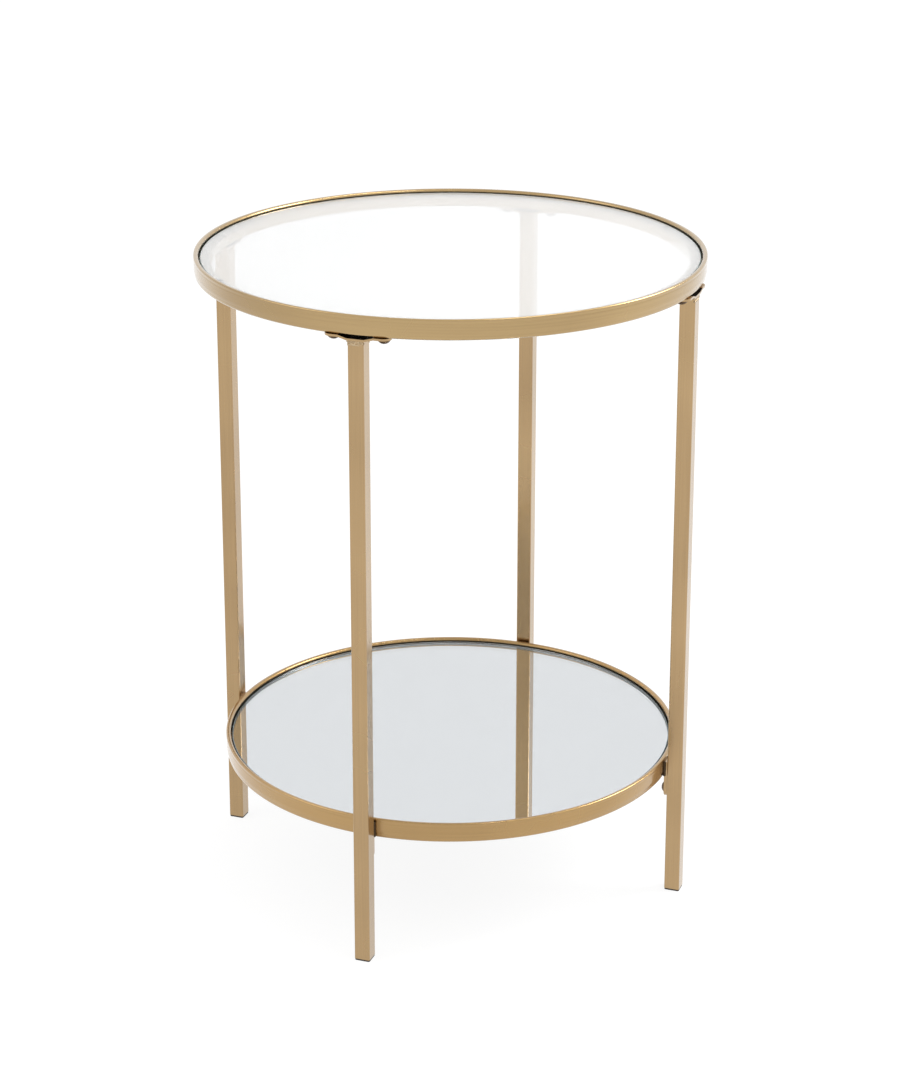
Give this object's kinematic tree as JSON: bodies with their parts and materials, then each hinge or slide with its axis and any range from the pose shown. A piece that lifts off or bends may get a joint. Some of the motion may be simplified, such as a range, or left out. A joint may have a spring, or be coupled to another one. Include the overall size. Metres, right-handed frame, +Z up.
{
  "type": "tiered side table",
  "caption": "Round side table with a glass top and a mirror shelf set in gold metal rings on slim square tube legs.",
  "frame": {"origin": "on the floor, at the table's vertical axis, under the middle of the bounding box", "axes": "+Z up; the four legs stand at -Y (front), +X (right), +Y (back) and -X (left)"},
  "size_m": [0.45, 0.45, 0.585],
  "materials": {
    "gold_lacquer": "satin",
    "clear_glass": "polished",
    "mirror_glass": "polished",
    "clear_rubber": "satin",
    "bronzed_steel": "satin",
    "zinc_steel": "satin",
    "brown_plastic": "matte"
  },
  "bodies": {
    "table": {"top_ring": "gold_lacquer", "shelf_ring": "gold_lacquer", "glass_pads": "clear_rubber", "mirror_pads": "clear_rubber", "plate_screws": "bronzed_steel", "shelf_bolts": "bronzed_steel", "ring_nuts": "zinc_steel", "leg_nuts": "zinc_steel", "leg_front": "gold_lacquer", "plate_front": "gold_lacquer", "tab_front": "gold_lacquer", "foot_front": "brown_plastic", "leg_right": "gold_lacquer", "plate_right": "gold_lacquer", "tab_right": "gold_lacquer", "foot_right": "brown_plastic", "leg_back": "gold_lacquer", "plate_back": "gold_lacquer", "tab_back": "gold_lacquer", "foot_back": "brown_plastic", "leg_left": "gold_lacquer", "plate_left": "gold_lacquer", "tab_left": "gold_lacquer", "foot_left": "brown_plastic"},
    "top_glass": {"top_glass": "clear_glass"},
    "shelf_mirror": {"shelf_mirror": "mirror_glass"}
  },
  "joints": [
    {"name": "glass_lift", "type": "slide", "parent": "table", "child": "top_glass", "axis": [0, 0, 1], "range_m": [0, 0.06]},
    {"name": "mirror_lift", "type": "slide", "parent": "table", "child": "shelf_mirror", "axis": [0, 0, 1], "range_m": [0, 0.12]}
  ]
}
